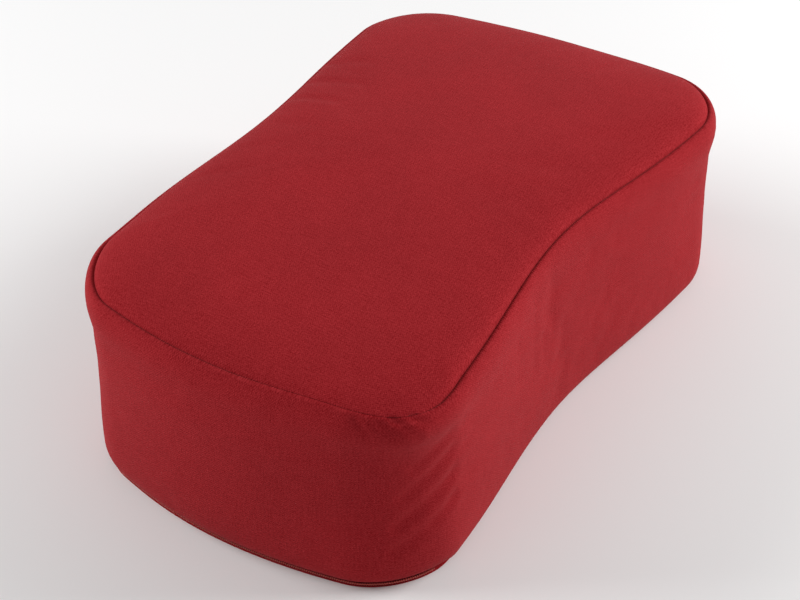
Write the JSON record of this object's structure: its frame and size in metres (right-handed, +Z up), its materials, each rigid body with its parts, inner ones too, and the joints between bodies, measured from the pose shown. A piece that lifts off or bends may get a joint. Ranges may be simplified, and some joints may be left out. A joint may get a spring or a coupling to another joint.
{
  "type": "boxed floor cushion",
  "caption": "Firm boxed floor cushion with a waisted rectangular top, sewn side band and a closed coil zip in its base seam.",
  "frame": {"origin": "middle of the cushion in plan, on the surface that it stands on", "axes": "+X along the length, away from the end with the zip; +Y across the width; +Z up, out of the crowned top panel"},
  "size_m": [0.4124, 0.2524, 0.147],
  "materials": {
    "cover_cloth": "burgundy plain-weave cotton, matt",
    "zip_coil": "red nylon coil, satin",
    "zip_tape": "dark red woven tape, matt"
  },
  "bodies": {
    "root": {"cushion": "cover_cloth", "zip_coil": "zip_coil", "zip_tape": "zip_tape"}
  },
  "joints": []
}
